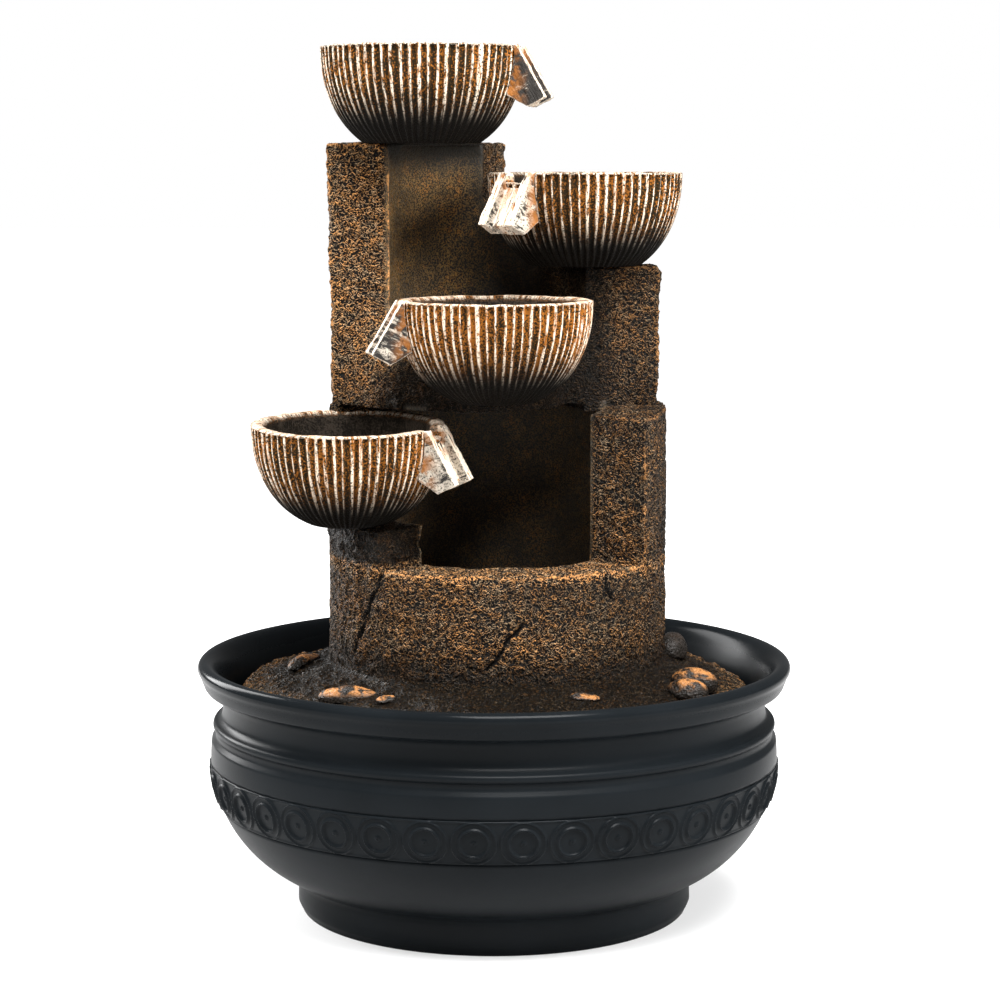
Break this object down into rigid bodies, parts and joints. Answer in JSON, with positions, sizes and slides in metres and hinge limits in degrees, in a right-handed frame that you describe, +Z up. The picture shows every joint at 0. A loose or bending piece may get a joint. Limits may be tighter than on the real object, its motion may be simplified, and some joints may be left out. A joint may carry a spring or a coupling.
{
  "type": "tabletop water fountain",
  "caption": "Tiered tabletop fountain: ribbed bowls with chutes on a stepped stone-look tower, over a round basin with a pump inside.",
  "frame": {"origin": "centre of the basin's underside", "axes": "+Z up through the tower, front towards -Y, +X to the right seen from the front"},
  "size_m": [0.276, 0.276, 0.4],
  "materials": {
    "basin": "satin black, softly glossy",
    "pump_case": "moulded, fine grain",
    "potting": "cast epoxy, glossy",
    "core_steel": "laminated sheet",
    "copper": "enamelled winding wire",
    "seal_rubber": "soft black rubber",
    "ceramic": "ground white ceramic",
    "magnet": "sintered ferrite",
    "impeller": "moulded, satin",
    "dial": "moulded, satin",
    "rock": "cast resin stone, hammered, copper dry-brushed on its high points",
    "wet_rock": "cast resin stone, dark and varnished",
    "bowl": "cast resin, ribbed, cream and rust dry-brushed over black",
    "chute": "cast resin, cream dry-brushed over grey and copper",
    "pebble": "cast resin, copper dry-brushed, varnished",
    "vinyl": "clear vinyl tube"
  },
  "bodies": {
    "basin": {"basin_shell": "basin", "pump_housing": "pump_case", "motor_potting": "potting", "stator_core": "core_steel", "coil_winding": "copper", "volute": "pump_case", "volute_seal": "seal_rubber", "rotor_shaft": "ceramic", "front_bush": "seal_rubber", "rear_bush": "seal_rubber", "suction_cups": "seal_rubber", "cord_gland": "seal_rubber"},
    "tower": {"lower_drum": "rock", "rock_deck": "wet_rock", "left_step": "rock", "niche_wall": "rock", "right_post": "rock", "left_pillar": "rock", "right_block": "rock", "bowl_bracket": "rock", "bowl_1": "bowl", "bowl_2": "bowl", "bowl_3": "bowl", "bowl_4": "bowl", "chute_1": "chute", "chute_2": "chute", "chute_3": "chute", "chute_4": "chute", "log_stone": "pebble", "left_pebbles": "pebble", "right_pebbles": "pebble", "dark_rock": "wet_rock", "riser_tube": "vinyl", "tube_nozzle": "seal_rubber"},
    "rotor": {"rotor_magnet": "magnet", "impeller": "impeller"},
    "intake": {"intake_cover": "pump_case"},
    "dial": {"flow_dial": "dial"}
  },
  "joints": [
    {"name": "tower_lift", "type": "slide", "parent": "basin", "child": "tower", "axis": [0, 0, 1], "range_m": [0, 0.12]},
    {"name": "rotor_spin", "type": "hinge", "parent": "basin", "child": "rotor", "pos_m": [-0.005, 0, 0.03], "axis": [0, 1, 0], "continuous": true},
    {"name": "intake_pull", "type": "slide", "parent": "basin", "child": "intake", "axis": [0, 1, 0], "range_m": [0, 0.02]},
    {"name": "dial_turn", "type": "hinge", "parent": "intake", "child": "dial", "pos_m": [-0.005, 0.028, 0.03], "axis": [0, 1, 0], "range_deg": [0, 90]}
  ]
}
